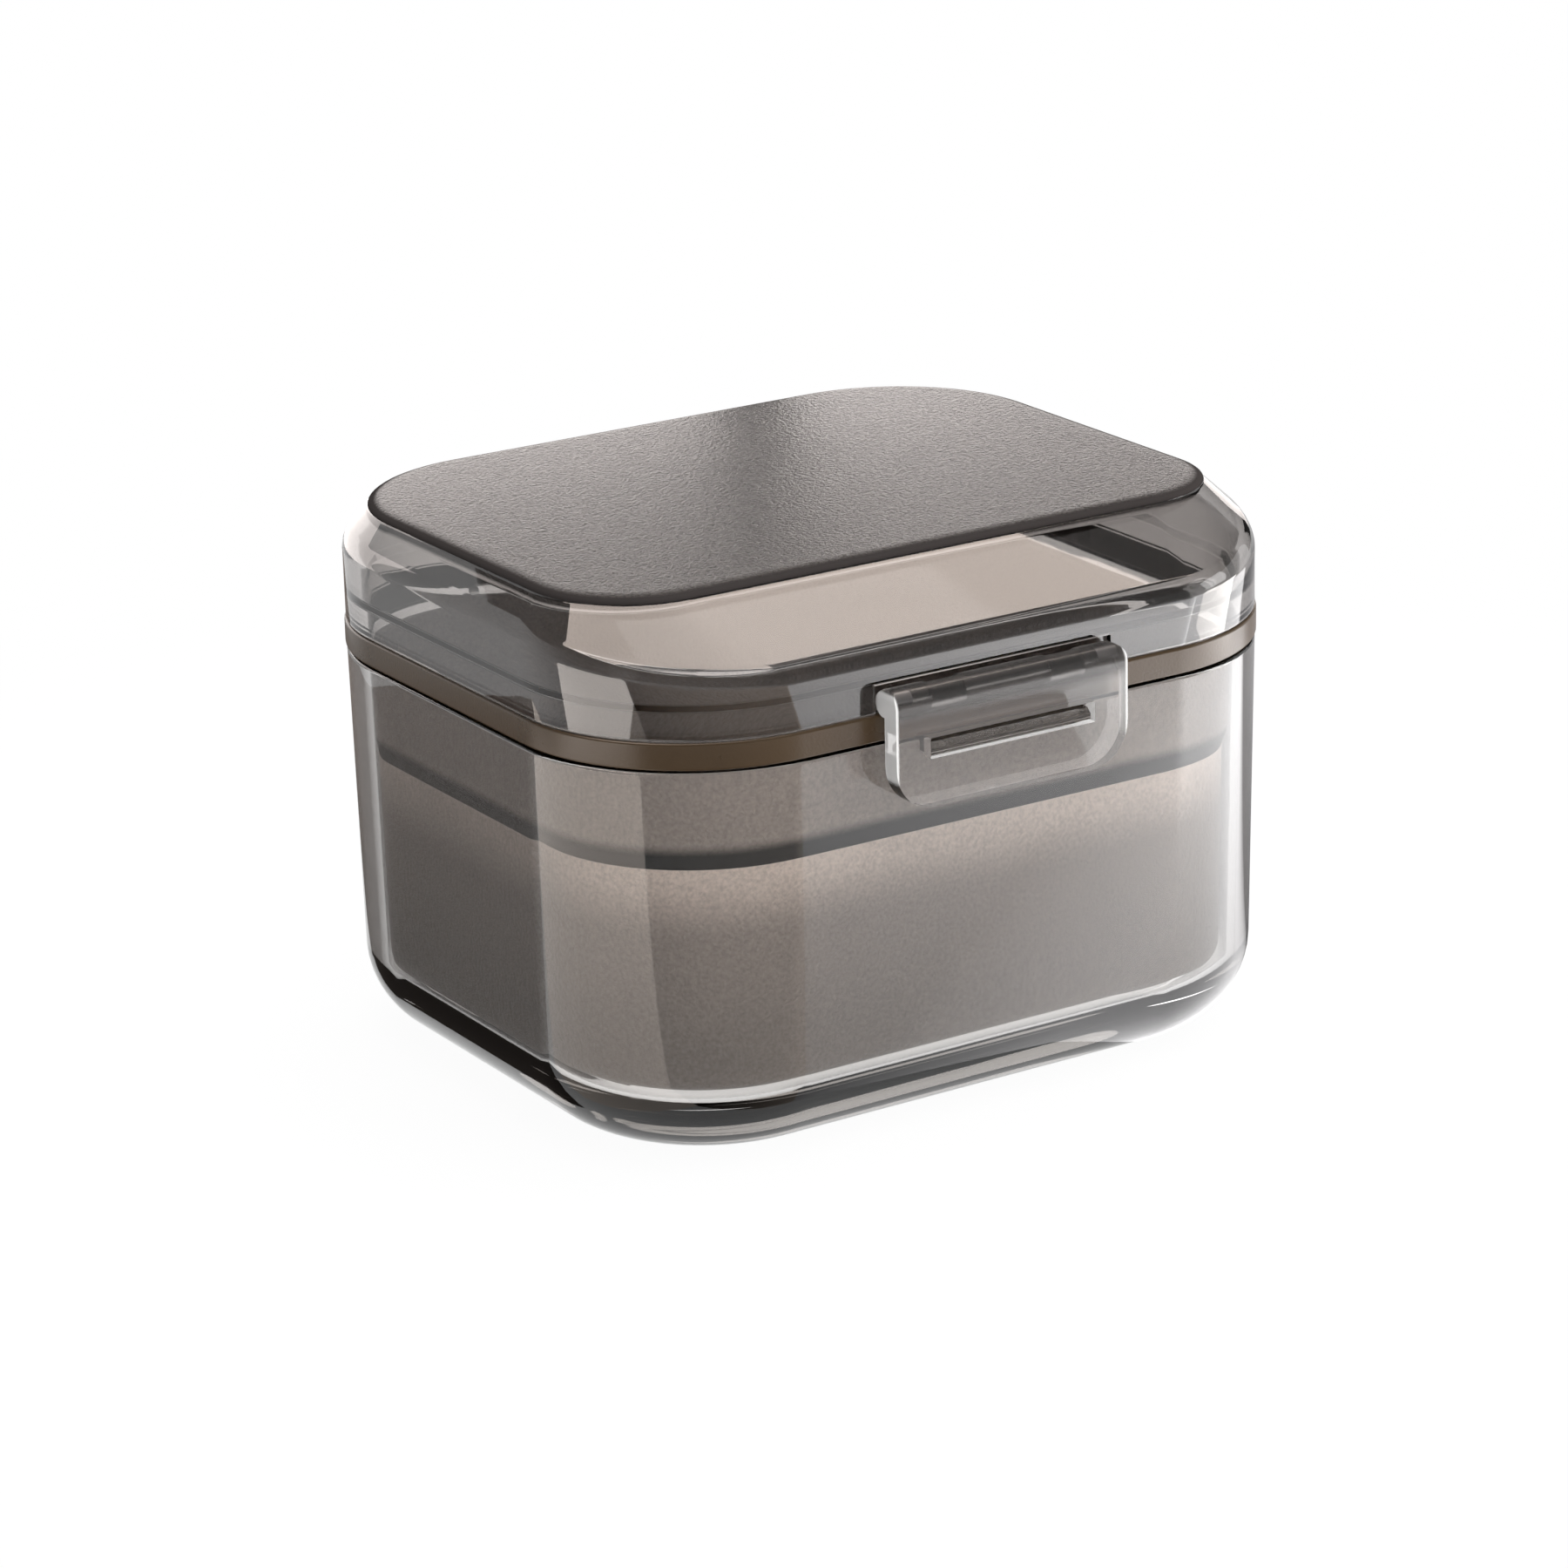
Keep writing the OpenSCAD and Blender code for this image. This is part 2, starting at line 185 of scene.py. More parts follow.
lamps = {
    "top_lamp": ((60, 40, 420), (420, 300), 0.7),
    "left_lamp": ((-420, -160, 240), (120, 320), 0.03),
    "right_lamp": ((420, -220, 200), (160, 320), 0.6),
}
lamp_aim = Vector((0, 0, 30)) * MM
for name, (spot, size, power) in lamps.items():
    lamp = bpy.data.lights.new(name, "AREA")
    lamp.shape = "RECTANGLE"
    lamp.size, lamp.size_y = (side * MM for side in size)
    lamp.energy = power
    stand = bpy.data.objects.new(name, lamp)
    bpy.context.scene.collection.objects.link(stand)
    stand.location = Vector(spot) * MM
    stand.rotation_euler = (lamp_aim - stand.location).to_track_quat("-Z", "Y").to_euler()

# Each card has its corners, its glare at its first and its last end, and its tint.
cards = {
    "left_pool": (((-51, -20, 0.5), (-42, -41, 0.5), (-149, 111, 0.5), (-204, -103, 0.5)),
                  (4.6, 4.6), (1, 0.89, 0.8, 1)),
    "left_far": (((-168, 40, 0.5), (-204, -103, 0.5), (-280, 60, 0.5), (-340, -140, 0.5)),
                 (6.5, 6.5), (1, 0.93, 0.88, 1)),
    "corner_pool": (((-42, -41, 0.5), (-24, -44, 0.5), (-260, -126, 0.5), (165, -370, 0.5)),
                    (0.1, 2.4), (1, 0.84, 0.73, 1)),
    "front_pool": (((-24, -44, 0.5), (12, -40.5, 0.5), (165, -370, 0.5), (300, -300, 0.5)),
                   (3.2, 13), (1, 0.99, 1, 1)),
    "right_pool": (((12, -40.5, 0.5), (47.5, -20, 0.5), (300, -300, 0.5), (420, 30, 0.5)),
                   (13, 1.5), (1, 0.99, 1, 1)),
    "clip_gap": (((46, -140, 0.7), (79, -140, 0.7), (68, -180, 0.7), (101, -180, 0.7)),
                 (2, 2), (1, 0.93, 0.92, 1)),
    "left_back": (((-47, -20, 0.5), (-47, 46, 0.5), (-149, 111, 0.5), (60, 260, 0.5)),
                  (0.25, 0.25), (1, 0.84, 0.75, 1)),
    "right_far": (((165, -145, 0.7), (180, -60, 0.7), (335, -245, 0.7), (380, -60, 0.7)),
                  (12, 12), (1, 0.97, 0.95, 1)),
    "right_back": (((48.5, -20, 0.5), (48.5, 46, 0.5), (420, 30, 0.5), (200, 300, 0.5)),
                   (0.6, 0.6), (1, 0.98, 1, 1)),
    "back_left": (((-80, 70, 52), (33, 70, 52), (-80, 70, 84), (33, 70, 83)),
                  (3.3, 3.3), (1, 0.93, 0.9, 1)),
    "back_right": (((43, 70, 52), (190, 70, 52), (43, 70, 85), (190, 70, 92)),
                   (3.8, 2.6), (1, 0.93, 0.9, 1)),
    "back_flag": (((-42, 76, 52), (400, 76, 52), (-42, 76, 330), (400, 76, 330)),
                  (0.06, 0.06), (1, 0.94, 0.92, 1)),
    "corner": (((-300, -90, 270), (85, -90, 270), (-300, 95, 270), (85, 46, 270)),
               (7.5, 7.5), (1, 0.86, 0.77, 1)),
    "overhead": (((85, 4, 270), (193, 4, 270), (85, 46, 270), (134, 46, 270)),
                 (7.2, 7.2), (1, 0.86, 0.77, 1)),
    "ceiling": (((-500, -400, 276), (500, -400, 276), (-500, 400, 276), (500, 400, 276)),
                (0.06, 0.06), (1, 0.88, 0.8, 1)),
}
# Floor cards grow brighter away from the case. The pools among them change again where the lid's rim sees them.
near_glare, card_ramp, pool_share = 0.24, 110, 0.6
rim_band, pool_end, pool_far = (125, 155), (190, 250), 0.3
rim_gains = {"left_pool": 0.5, "corner_pool": 1.9, "front_pool": 1.8, "right_pool": 1}
case_w, case_d, corner_r = 95, 80.5, 22.3


def off_axes(shade):
    """How far a place lies from the block between the four corner axes of the case, in metres."""
    middle = ((case_w / 2 - corner_r) * MM, (case_d / 2 - corner_r) * MM, 1)
    away = shade.vectors("SUBTRACT", shade.vectors("ABSOLUTE", shade.place()), middle)
    return shade.vectors("LENGTH", shade.vectors("MAXIMUM", away, (0, 0, 0)), out="Value")


def from_wall(length):
    """The same distance for a place that lies so many millimetres outside the case's wall."""
    return (corner_r + length) * MM


for name, (corners, (first, last), tint) in cards.items():
    bpy.ops.object.select_all(action="DESELECT")
    bpy.ops.mesh.primitive_plane_add(size=1)
    card = bpy.context.object
    card.name = name
    for corner, spot in zip(card.data.vertices, corners):
        corner.co = Vector(spot) * MM
    material, shade = new_material(name)
    glare = first + (last - first) * shade.place("UV").along("X")
    if corners[0][2] < 1:
        away = off_axes(shade)
        gain = rim_gains.get(name)
        far_glare = pool_share if gain else 1
        glare = glare * away.ramp(from_wall(0), from_wall(card_ramp), near_glare, far_glare, soft=False)
        for (start, end), share in ((rim_band, gain), (pool_end, pool_far)) if gain else ():
            glare = glare * away.ramp(from_wall(start), from_wall(end), 1, share)
    dress(card, material, shade.add("Emission", {}, {"Color": tint, "Strength": glare}))
    card.visible_camera = card.visible_diffuse = card.visible_transmission = card.visible_shadow = False

floor_side, floor_gap, shadow_share, shadow_near, shadow_far = 3000, 0.1, 0.04, 50, 200
bpy.ops.object.select_all(action="DESELECT")
bpy.ops.mesh.primitive_plane_add(size=floor_side * MM, location=(0, 0, -floor_gap * MM))
floor = bpy.context.object
floor.name = "floor"
bpy.ops.object.transform_apply(location=True)
material, shade = new_material("pale_floor")
far = shade.vectors("LENGTH", shade.place(), out="Value")
fade = far.ramp(shadow_near * MM, shadow_far * MM, 1 - shadow_share, 1)
shown = shade.path("Is Camera Ray") + shade.straight("Is Transmission Ray") + shade.straight("Is Glossy Ray")
matt = shade.add("BsdfDiffuse", {}, {"Color": (0.9, 0.9, 0.9, 1)})
white = shade.add("Emission", {}, {"Color": (1, 1, 1, 1), "Strength": 1})
dress(floor, material, (fade * shown.at_most(1)).merge(matt, white))


# Tub
# The outer box, one injection moulding in clear plastic with a faint smoke tint: leaning walls, a thick floor,
# round corners and a round foot. Its catch rib and its two hinge knuckles are moulded in one with it.
def choose(piece):
    """Makes a piece the only one that is selected."""
    bpy.ops.object.select_all(action="DESELECT")
    bpy.context.view_layer.objects.active = piece
    piece.select_set(True)


def start_block(name, low, high):
    """A block between two corners, in millimetres, open for editing with nothing selected."""
    bpy.ops.object.select_all(action="DESELECT")
    middle = [(a + b) / 2 * MM for a, b in zip(low, high)]
    sides = [(b - a) * MM for a, b in zip(low, high)]
    bpy.ops.mesh.primitive_cube_add(size=1, location=middle, scale=sides)
    block = bpy.context.object
    block.name = name
    bpy.ops.object.transform_apply(location=True, rotation=True, scale=True)
    bpy.ops.object.mode_set(mode="EDIT")
    bpy.ops.mesh.select_all(action="DESELECT")
    return block


def close_up(piece):
    """Ends the editing of a piece."""
    bpy.ops.object.mode_set(mode="OBJECT")
    return piece


def pick(piece, kind, test):
    """Selects the edges or faces that pass a test of their corners, in millimetres, and of a face's normal."""
    bpy.ops.mesh.select_mode(type=kind)
    bpy.ops.mesh.select_all(action="DESELECT")
    mesh = bmesh.from_edit_mesh(piece.data)
    mesh.normal_update()
    for part in mesh.faces if kind == "FACE" else mesh.edges:
        corners = [corner.co / MM for corner in part.verts]
        if test(corners, part.normal) if kind == "FACE" else test(corners):
            part.select_set(True)
    mesh.select_flush_mode()
    bmesh.update_edit_mesh(piece.data)


touch = 0.01


def at_height(z):
    """A test for edges that lie level at one height."""
    return lambda corners: all(abs(corner.z - z) < touch for corner in corners)


def facing_up(z):
    """A test for the level face that looks up at one height."""
    return lambda corners, normal: normal.z > 0.9 and abs(corners[0].z - z) < touch


def resize(width, depth, less):
    """Draws the selection in by the same length on every side."""
    bpy.ops.transform.resize(value=(1 - 2 * less / width, 1 - 2 * less / depth, 1), center_override=(0, 0, 0))


def round_off(radius, steps):
    bpy.ops.mesh.bevel(offset=radius * MM, segments=steps, affect="EDGES", clamp_overlap=False)


def raise_by(height):
    bpy.ops.mesh.extrude_region_move(TRANSFORM_OT_translate={"value": (0, 0, height * MM)})


def start_bowl(name, width, depth, corner, low, high, foot, steps):
    """A block with round upright corners that leans in towards a round foot."""
    bowl = start_block(name, (-width / 2, -depth / 2, low), (width / 2, depth / 2, high))
    pick(bowl, "EDGE", lambda corners: abs(corners[0].z - corners[1].z) > 1)
    round_off(corner, steps)
    pick(bowl, "FACE", lambda corners, normal: normal.z < -0.9)
    resize(width, depth, (high - low) * draft)
    pick(bowl, "EDGE", at_height(low))
    round_off(foot, 12)
    return bowl


def finish_with(piece, kind, **settings):
    """Adds one modifier to a piece and applies it."""
    choose(piece)
    modifier = piece.modifiers.new("finish", kind)
    for name, value in settings.items():
        setattr(modifier, name, value)
    bpy.ops.object.modifier_apply(modifier=modifier.name)


def cut(piece, tool, operation):
    """Joins a tool to a piece, or cuts it away, and discards the tool."""
    finish_with(piece, "BOOLEAN", object=tool, operation=operation, solver="EXACT")
    bpy.data.objects.remove(tool)


def bar(name, x, length, outline):
    """A bar along the width, from x on, whose upright section is an outline of y and z."""
    bpy.ops.object.select_all(action="DESELECT")
    bpy.ops.mesh.primitive_circle_add(vertices=len(outline), radius=1 * MM, fill_type="NGON")
    piece = bpy.context.object
    piece.name = name
    for corner, (y, z) in zip(piece.data.vertices, outline):
        corner.co = Vector((x, y, z)) * MM
    bpy.ops.object.mode_set(mode="EDIT")
    bpy.ops.mesh.select_all(action="SELECT")
    bpy.ops.mesh.extrude_region_move(TRANSFORM_OT_translate={"value": (length * MM, 0, 0)})
    bpy.ops.mesh.select_all(action="SELECT")
    bpy.ops.mesh.normals_make_consistent()
    bpy.ops.mesh.select_all(action="DESELECT")
    return close_up(piece)


def arc(y, z, radius, first, last, steps):
    """Points of an arc in the upright plane, with angles counted from the back upwards."""
    angles = [math.radians(first + (last - first) * step / steps) for step in range(steps + 1)]
    return [(y + radius * math.cos(angle), z + radius * math.sin(angle)) for angle in angles]


def rod(name, x, length, y, z, radius):
    """A round bar along the width."""
    return bar(name, x, length, arc(y, z, radius, 0, 351, 39))


def smooth(piece):
    """Smooth shading that keeps the flats flat and the sharp edges sharp."""
    choose(piece)
    bpy.ops.object.shade_smooth_by_angle(angle=math.radians(35))
    finish_with(piece, "WEIGHTED_NORMAL", keep_sharp=True)


draft = math.tan(math.radians(0.7))
tub_wall, tub_floor, tub_foot, tub_inner, tub_rim = 2.5, 6.4, 10.2, 3.8, 0.4
tub = start_bowl("tub_shell", case_w, case_d, corner_r, 0, seam, tub_foot, 24)
pick(tub, "FACE", facing_up(seam))
bpy.ops.mesh.inset(thickness=tub_wall * MM)
raise_by(tub_floor - seam)
resize(case_w - 2 * tub_wall, case_d - 2 * tub_wall, (seam - tub_floor) * draft)
pick(tub, "EDGE", at_height(tub_floor))
round_off(tub_inner, 8)
pick(tub, "EDGE", at_height(seam))
round_off(tub_rim, 3)
close_up(tub)

rib_w, rib_out, rib_h, rib_drop, rib_lead, groove, groove_h, root = 21.6, 3.2, 1.3, 0.05, 0.7, 0.12, 0.15, 0.8
rib_front, rib_join, rib_low, rib_top = -case_d / 2 - rib_out, -case_d / 2 + root, seam - rib_h, seam - rib_drop
rib_face = [(rib_front + (groove if step % 2 else 0), rib_low + groove_h * step) for step in range(5)]
cut(tub, bar("rib", -rib_w / 2, rib_w, [(rib_join, rib_low), *rib_face, (rib_front + rib_lead, rib_top),
                                        (rib_join, rib_top)]), "UNION")

hinge_y, hinge_z, hinge_len, knuckle_r, arm_in, eye_gap = 43.15, 49.1, 40, 2.4, 0.4, 0.3
pin_r, pin_fit, pin_play = 1, 0.02, 0.06


def knuckle(x, length, near, far):
    """A hinge eye with the arm that ties it to the back wall between two heights over the seam."""
    side = knuckle_r * math.copysign(math.sqrt(0.5), far - near)
    wall = case_d / 2 - root
    arm = bar("arm", x, length, [(wall, seam + near), (wall, seam + far), (hinge_y + abs(side), hinge_z + side),
                                 (hinge_y, hinge_z), (hinge_y - knuckle_r + arm_in, seam + near)])
    eye_bar = rod("eye", x, length, hinge_y, hinge_z, knuckle_r)
    cut(eye_bar, arm, "UNION")
    return eye_bar


tub_eye, tub_arm = 8, (-0.1, -6.7)
for x in (-hinge_len / 2, hinge_len / 2 - tub_eye):
    cut(tub, knuckle(x, tub_eye, *tub_arm), "UNION")
cut(tub, rod("bore", -hinge_len, 2 * hinge_len, hinge_y, hinge_z, pin_r + pin_fit), "DIFFERENCE")
smooth(tub)


def clear_plastic(shade, colour, roughness, ripple):
    """Polished clear plastic with faint flow ripples, and the smoke in its body."""
    flow = shade.place().noise(ripple, 2).bump(0.02, 0.001)
    surface = shade.add("BsdfPrincipled", {}, {"Base Color": colour, "Roughness": roughness, "IOR": 1.5,
                                               "Transmission Weight": 1, "Normal": flow})
    return surface, shade.add("VolumeAbsorption", {}, {"Color": (0.52, 0.49, 0.465, 1), "Density": 25})


polish = 0.02
tub_tint, tub_edge, tub_edge_gain = (0.93, 0.92, 0.91, 1), (0.05, 0.046, 0.044, 1), 2.4
material, shade = new_material("clear_tub")
slant = shade.add("LayerWeight", {}, {"Blend": 0.5}, "Facing")
wall = shade.place().along("Z").ramp(tub_floor * MM, tub_foot * MM)
colour = (tub_edge_gain * slant * slant * wall).blend(tub_tint, tub_edge)
dress(tub, material, *clear_plastic(shade, colour, polish, 60))
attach(tub, "base")
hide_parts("tub")

# Strainer basket
# The insert that holds the retainer over the liquid: a frosted smoke moulding with a wider collar, four low
# corner feet and a floor drilled with drain holes. It drops into the tub and lifts out.
basket_low, shoulder, basket_top = 7.6, 35.4, 46.4
body_in, collar_step, collar_taper, basket_wall, basket_floor = 3.744, 0.6, 2, 1.5, 1.6
basket_foot, basket_inner, basket_rim, collar_round = 3, 2.2, 0.4, 1
body_w, body_d, body_r = case_w - 2 * body_in, case_d - 2 * body_in, corner_r - body_in
basket = start_bowl("basket_shell", body_w, body_d, body_r, basket_low, shoulder, basket_foot, 20)
pick(basket, "FACE", facing_up(shoulder))
raise_by(collar_taper)
resize(body_w, body_d, -collar_step)
raise_by(basket_top - shoulder - collar_taper)
bpy.ops.mesh.inset(thickness=basket_wall * MM)
raise_by(shoulder + basket_wall - basket_top)
resize(body_w + 2 * collar_step - 2 * basket_wall, body_d + 2 * collar_step - 2 * basket_wall, collar_step)
raise_by(basket_low + basket_floor - shoulder - basket_wall)
resize(body_w - 2 * basket_wall, body_d - 2 * basket_wall, (shoulder - basket_low) * draft)
pick(basket, "EDGE", at_height(basket_low + basket_floor))
round_off(basket_inner, 6)
pick(basket, "EDGE", at_height(basket_top))
round_off(basket_rim, 3)
pick(basket, "EDGE", at_height(shoulder + collar_taper))
round_off(collar_round, 5)
close_up(basket)

drain_r, drain_pitch, drill_len = 1.6, 6.6, 4
foot_w, foot_up, foot_sunk, foot_span = 2.4, 1.0, 0.5, math.radians(44)
row_step = drain_pitch * math.sin(math.radians(60))
drain_edge = body_in + (seam - basket_low) * draft + basket_foot + drain_r
spots_w, spots_d, spots_r = case_w - 2 * drain_edge, case_d - 2 * drain_edge, corner_r - drain_edge - foot_w
bpy.ops.object.select_all(action="DESELECT")
bpy.ops.mesh.primitive_cylinder_add(vertices=16, radius=drain_r * MM, depth=drill_len * MM,
                                    location=(0, 0, (basket_low + basket_floor / 2) * MM))
drill = bpy.context.object
bpy.ops.object.transform_apply(location=True)
drills = []
for row in range(-6, 7):
    for column in range(-8, 9):
        x, y = (column + row % 2 / 2) * drain_pitch, row * row_step
        over = (max(abs(x) - (spots_w / 2 - spots_r), 0), max(abs(y) - (spots_d / 2 - spots_r), 0))
        if math.hypot(*over) <= spots_r and abs(y) <= spots_d / 2:
            copy = bpy.data.objects.new("drill", drill.data.copy())
            copy.data.transform(Matrix.Translation((x * MM, y * MM, 0)))
            bpy.context.scene.collection.objects.link(copy)
            drills.append(copy)
bpy.data.objects.remove(drill)
for copy in drills:
    copy.select_set(True)
bpy.context.view_layer.objects.active = drills[0]
bpy.ops.object.join()
cut(basket, drills[0], "DIFFERENCE")

foot_r, foot_h = corner_r - drain_edge + drain_r, foot_up + foot_sunk
for side, end in ((1, 1), (-1, 1), (-1, -1), (1, -1)):
    centre = Vector((side * (case_w / 2 - corner_r), end * (case_d / 2 - corner_r), 0)) * MM
    start = math.atan2(end, side) - foot_span / 2
    bpy.ops.object.select_all(action="DESELECT")
    bpy.ops.mesh.primitive_plane_add(size=1)
    foot = bpy.context.object
    foot.name = "foot"
    for corner, (out, up) in zip(foot.data.vertices, ((-foot_w, 0), (0, 0), (-foot_w, foot_h), (0, foot_h))):
        far = (foot_r + out) * MM
        foot_z = (basket_low - foot_up + up) * MM
        corner.co = centre + Vector((far * math.cos(start), far * math.sin(start), foot_z))
    bpy.ops.object.mode_set(mode="EDIT")
    bpy.ops.mesh.select_all(action="SELECT")
    bpy.ops.mesh.spin(steps=14, angle=foot_span, center=centre, axis=(0, 0, 1))
    bpy.ops.mesh.select_all(action="SELECT")
    bpy.ops.mesh.normals_make_consistent()
    cut(basket, close_up(foot), "UNION")
smooth(basket)


def frosting(shade, depth):
    """The fine grain of a spark-eroded mould, and its relief."""
    grain = shade.place().noise(2200, 2, 0.6).ramp(0.3, 0.7, soft=False)
    return grain, grain.bump(depth, 0.0002)


# The collar overhangs the body. Outside, a painted shadow lies under it as a band of black matt colour, the body
# just below that is painted paler as painted light, and the body is painted darker towards its foot as painted
# shade.
pale_smoke, deep_smoke, painted_shadow_black = (0.95, 0.81, 0.72, 1), (0.02, 0.016, 0.014, 1), (0.004, 0.004, 0.004, 1)
body_tone, painted_shade_rise, painted_glow_tone, collar_tone, painted_glow_h = 0.22, 0.18, 0.54, 0.4, 9
line_low, line_high, line_end, collar_low = (shoulder + height for height in (-0.3, 1.3, 3, 0.5))
material, shade = new_material("frosted_basket")
grain, frost = frosting(shade, 0.5)
patch = shade.place().noise(60, 3)
height = shade.place().along("Z")
outer = off_axes(shade).over((body_r - basket_wall / 2) * MM)
# Painted shadow: a black matt band under the collar's overhang, on the outside only.
painted_shadow_band = outer * height.ramp(line_end * MM, line_high * MM) * height.over(line_low * MM)
# Painted shade: the body is darker towards its foot and paler towards the collar.
painted_shade_climb = height.ramp(basket_low * MM, shoulder * MM, soft=False)
# Painted light: the outside of the body is paler just under the collar.
glow = outer * height.ramp((shoulder - painted_glow_h) * MM, shoulder * MM)
collar = height.over(collar_low * MM)
tone = (1 - collar) * (body_tone + painted_shade_rise * painted_shade_climb + painted_glow_tone * glow) + collar_tone * collar
cloud = tone * (0.65 + 0.3 * patch + 0.4 * grain)
plastic = shade.add("BsdfPrincipled", {}, {
    "Base Color": cloud.blend(deep_smoke, pale_smoke), "Roughness": 0.3 + 0.1 * patch, "IOR": 1.49,
    "Transmission Weight": 0.2, "Normal": frost})
dress(basket, material, painted_shadow_band.merge(plastic, shade.add("BsdfDiffuse", {}, {"Color": painted_shadow_black})))
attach(basket, "basket")
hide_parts("strainer_basket")


# Lid
# The clear cover, one moulding: an upright rim, a wide front slope that wraps the corners, steeper sides and a low
# raised panel with a spark-eroded frost. The lip, the clip's pocket and lugs and a knuckle are part of it.
def plan(front, side, front_r, back_r, z):
    """Corner points of a rounded plan at a height over the seam, counted from the middle of the front."""
    right, near, rear = case_w / 2 - side, -case_d / 2 + front, case_d / 2 - side
    steps, ring = 20, []
    for first, x, y, r in ((-90, right, near, front_r), (0, right, rear, back_r),
                           (90, -right, rear, back_r), (180, -right, near, front_r)):
        centre = Vector((x - math.copysign(r, x), y - math.copysign(r, y), 0))
        for step in range(steps + 1):
            angle = math.radians(first + 90 * step / steps)
            ring.append(centre + r * Vector((math.cos(angle), math.sin(angle), 0)) + Vector((0, 0, seam + z)))
    return ring


def case_plan(inset, z):
    return plan(inset, inset, corner_r - inset, corner_r - inset, z)


def panel_ring(front, side, front_r, z):
    return plan(front, side, front_r, corner_r - side, z)


def outside(point, inset):
    """How far a point lies outside the case's plan."""
    x = max(abs(point.x) - (case_w / 2 - corner_r), 0)
    y = max(abs(point.y) - (case_d / 2 - corner_r), 0)
    return math.hypot(x, y) - (corner_r - inset)


def rim_ring(high, low, inset):
    """Where the straight lines from the high ring to the low ring pass through the upright wall."""
    ring = []
    for top, foot in zip(high, low):
        inner, outer = 0.0, 1.0
        for halving in range(40):
            middle = (inner + outer) / 2
            if outside(top.lerp(foot, middle), inset) < 0:
                inner = middle
            else:
                outer = middle
        ring.append(top.lerp(foot, inner))
    return ring


def dome(inset, top, front, side, front_r, low_r):
    """The rim and the upper ring of a dome with the lid's slopes, which run on down to the seal's upper edge."""
    fall = top - seal_h
    high = panel_ring(front, side, front_r, top)
    low = panel_ring(front - fall / front_slope, side - fall / side_slope, low_r, seal_h)
    return rim_ring(high, low, inset), high


def pick_ring(shell, ring, add=False):
    """Selects the edges of one ring."""
    bpy.ops.mesh.select_mode(type="EDGE")
    if not add:
        bpy.ops.mesh.select_all(action="DESELECT")
    mesh = bmesh.from_edit_mesh(shell.data)
    spots = KDTree(len(ring))
    for number, point in enumerate(ring):
        spots.insert(point, number)
    spots.balance()
    on_ring = {corner for corner in mesh.verts if spots.find(corner.co / MM)[2] < touch / 2}
    for edge in mesh.edges:
        if all(corner in on_ring for corner in edge.verts):
            edge.select_set(True)
    mesh.select_flush_mode()
    bmesh.update_edit_mesh(shell.data)


def build_rings(name, rings, closed):
    """Lofts a shell through rings of points by extruding a circle from each ring to the next."""
    bpy.ops.object.select_all(action="DESELECT")
    bpy.ops.mesh.primitive_circle_add(vertices=len(rings[0]), radius=0.04)
    shell = bpy.context.object
    shell.name = name
    bpy.ops.object.mode_set(mode="EDIT")
    bpy.ops.mesh.select_all(action="SELECT")

    def from_front(point):
        return math.atan2(point.x, -point.y) % math.tau

    for number, ring in enumerate(rings):
        if number:
            bpy.ops.mesh.extrude_region_move()
        mesh = bmesh.from_edit_mesh(shell.data)
        chosen = sorted((v for v in mesh.verts if v.select), key=lambda v: from_front(v.co))
        for corner, point in zip(chosen, sorted(ring, key=from_front)):
            corner.co = point * MM
        bmesh.update_edit_mesh(shell.data)
    if closed:
        pick_ring(shell, rings[0], add=True)
        bpy.ops.mesh.bridge_edge_loops()
    else:
        for ring in (rings[0], rings[-1]):
            pick_ring(shell, ring)
            bpy.ops.mesh.edge_face_add()
    bpy.ops.mesh.select_all(action="SELECT")
    bpy.ops.mesh.normals_make_consistent()
    return shell


front_h, side_h, panel_low, panel_t, panel_edge, panel_base = 10.4, 13.3, 16.7, 0.8, 2.2, 0.15
panel_front, panel_side, panel_r, slope_r = 12.3, 3.2, 12.5, 34
lid_wall, lid_top, rim_wall, ledge_h, ledge_slant = 2.0, 2.3, 2.6, 6.9, 0.5
seal_h, seal_t, seam_gap = 3.5, 1.7, 0.3
front_slope = (panel_low - front_h) / panel_front
side_slope = (panel_low - side_h) / panel_side
hollow_top = panel_low + panel_t - lid_top
hollow_front = (hollow_top - front_h + lid_wall * math.hypot(1, front_slope)) / front_slope
hollow_side = (hollow_top - side_h + lid_wall * math.hypot(1, side_slope)) / side_slope
rim, panel_foot = dome(0, panel_low, panel_front, panel_side, panel_r, slope_r)
inner_rim, ceiling = dome(lid_wall, hollow_top, hollow_front, hollow_side, panel_r - 1, slope_r - 2)
# Each ring of the lid has the radius of its rounded edge.
lid_rings = [
    (ceiling, 0.9),
    (inner_rim, 0.9),
    (case_plan(lid_wall, ledge_h + ledge_slant), 0.15),
    (case_plan(rim_wall, ledge_h - ledge_slant), 0.15),
    (case_plan(rim_wall, seam_gap), 0.2),
    (case_plan(seal_t, seam_gap), 0.1),
    (case_plan(seal_t, seal_h), 0.05),
    (case_plan(0, seal_h), 0.25),
    (rim, 1.5),
    (panel_foot, 0.2),
]
for lift in range(0, 91, 15):
    inset = panel_edge * (1 - math.cos(math.radians(lift)))
    lift_z = panel_low + panel_base + (panel_t - panel_base) * math.sin(math.radians(lift))
    lid_rings.append((panel_ring(panel_front + inset, panel_side + inset, panel_r - inset, lift_z), 0))
lid = build_rings("lid_shell", [ring for ring, radius in lid_rings], closed=False)
widest = 2
for ring, radius in lid_rings:
    pick_ring(lid, ring)
    bpy.ops.transform.edge_bevelweight(value=radius / widest)
close_up(lid)
finish_with(lid, "BEVEL", limit_method="WEIGHT", width=widest * MM, segments=6, use_clamp_overlap=False)

